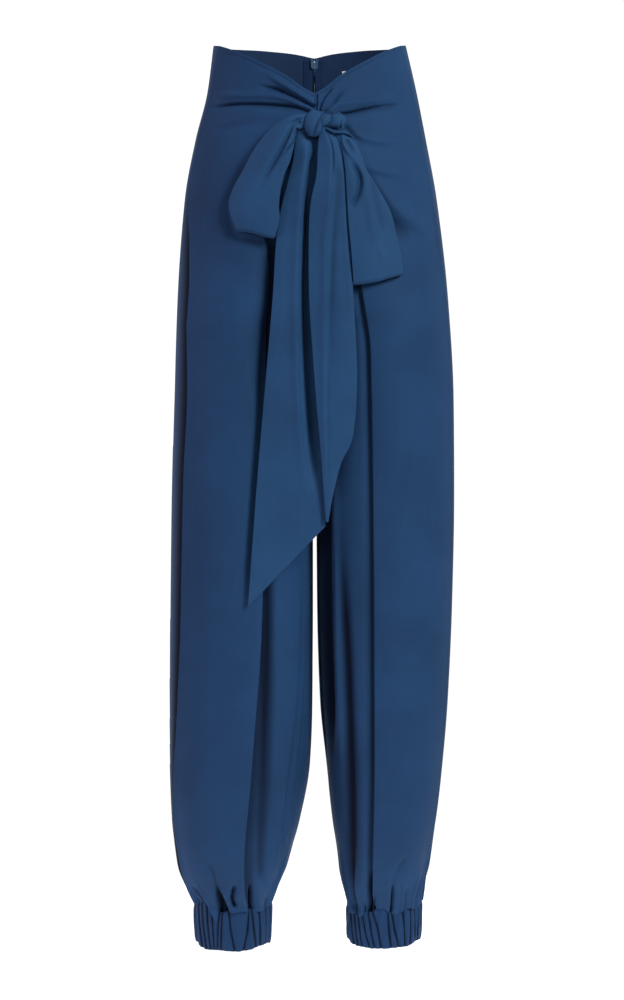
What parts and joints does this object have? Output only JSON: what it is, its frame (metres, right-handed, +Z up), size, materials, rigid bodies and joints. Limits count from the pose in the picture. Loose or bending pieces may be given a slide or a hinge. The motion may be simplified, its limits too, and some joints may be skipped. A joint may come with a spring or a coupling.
{
  "type": "trousers",
  "caption": "High-waisted wide trousers with a V front, a tied bow at the waist, long pleats down the legs and gathered cuffs.",
  "frame": {"origin": "centre of the waist opening, level with its side corners and on the line of the centre seams", "axes": "+Z up the body, +X to the wearer's left, -Y out of the front"},
  "size_m": [0.3408, 0.2318, 1.0783],
  "materials": {
    "main_cloth": "crepe with a soft sheen",
    "cuff_cloth": "gathered crepe over elastic",
    "bow_cloth": "crepe, doubled",
    "zip_tape": "woven tape",
    "zip_metal": "satin enamel",
    "label_cloth": "plain satin ribbon"
  },
  "bodies": {
    "garment": {"front_right": "main_cloth", "front_left": "main_cloth", "back_right": "main_cloth", "back_left": "main_cloth", "cuff_right": "cuff_cloth", "cuff_left": "cuff_cloth", "knot": "bow_cloth", "knot_knob": "bow_cloth", "knot_band": "bow_cloth", "bow_loop_right": "bow_cloth", "bow_loop_left": "bow_cloth", "tie_tail_right": "bow_cloth", "tie_tail_left": "bow_cloth", "zip_tape_right": "zip_tape", "zip_tape_left": "zip_tape", "zip_slider": "zip_metal", "label": "label_cloth"},
    "pull": {"zip_pull": "zip_metal"}
  },
  "joints": [
    {"name": "pull_swing", "type": "hinge", "parent": "garment", "child": "pull", "pos_m": [0, 0.09421, -0.0165], "axis": [1, 0, 0], "range_deg": [0, 150]}
  ]
}
